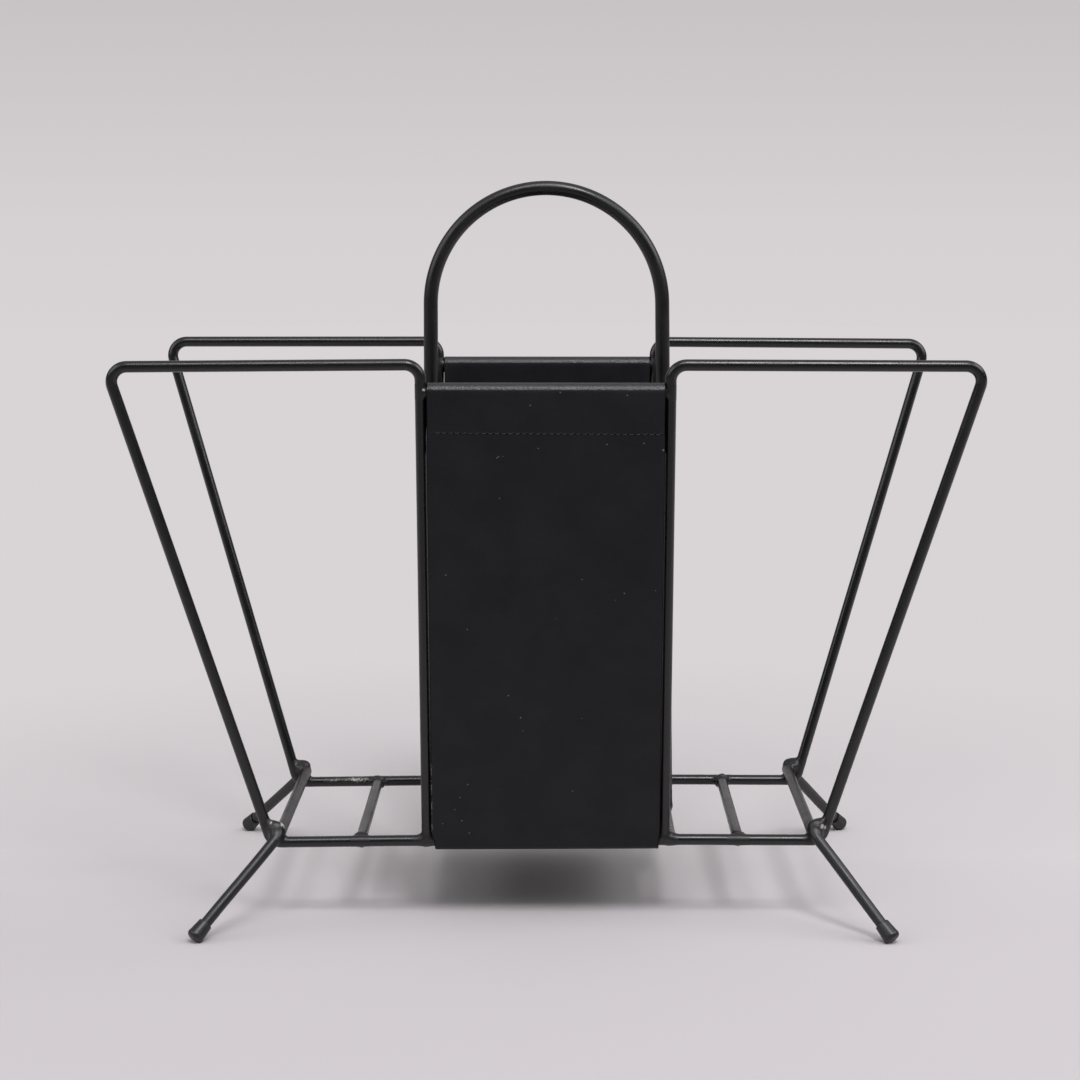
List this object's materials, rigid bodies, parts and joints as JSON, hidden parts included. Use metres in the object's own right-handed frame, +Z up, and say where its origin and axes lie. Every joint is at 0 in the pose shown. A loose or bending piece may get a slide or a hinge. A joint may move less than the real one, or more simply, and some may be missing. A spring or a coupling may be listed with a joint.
{
  "type": "magazine basket",
  "caption": "Wire magazine rack with splayed rod frames, a leather sling between them, an arched carrying handle and splayed legs with rubber caps",
  "frame": {"origin": "on the floor, under the middle of the rack", "axes": "+X runs along the rack to its right end, +Y to its back, +Z up; the pictured side faces -Y"},
  "size_m": [0.4708, 0.2428, 0.4143],
  "materials": {
    "black_lacquered_steel": "satin black lacquer on round steel rod, with faint orange peel, small chips and lumpy painted welds",
    "black_leather": "smooth matt black leather with a fine grain, raw cut edges and a row of black stitches along each hem",
    "black_rubber": "matt black moulded rubber with a soft highlight"
  },
  "bodies": {
    "root": {"front_frame": "black_lacquered_steel", "back_frame": "black_lacquered_steel", "front_sling_rod": "black_lacquered_steel", "back_sling_rod": "black_lacquered_steel", "carrying_handle": "black_lacquered_steel", "left_base_bar": "black_lacquered_steel", "right_base_bar": "black_lacquered_steel", "left_handle_bar": "black_lacquered_steel", "right_handle_bar": "black_lacquered_steel", "left_leg_bow": "black_lacquered_steel", "right_leg_bow": "black_lacquered_steel", "leather_sling": "black_leather", "foot_cap_front_left": "black_rubber", "foot_cap_front_right": "black_rubber", "foot_cap_back_left": "black_rubber", "foot_cap_back_right": "black_rubber", "corner_weld_front_left": "black_lacquered_steel", "corner_weld_front_right": "black_lacquered_steel", "corner_weld_back_left": "black_lacquered_steel", "corner_weld_back_right": "black_lacquered_steel", "bar_weld_front_left": "black_lacquered_steel", "bar_weld_front_right": "black_lacquered_steel", "bar_weld_back_left": "black_lacquered_steel", "bar_weld_back_right": "black_lacquered_steel", "upright_weld_front_left": "black_lacquered_steel", "upright_weld_front_right": "black_lacquered_steel", "upright_weld_back_left": "black_lacquered_steel", "upright_weld_back_right": "black_lacquered_steel", "handle_weld_left": "black_lacquered_steel", "handle_weld_right": "black_lacquered_steel"}
  },
  "joints": []
}
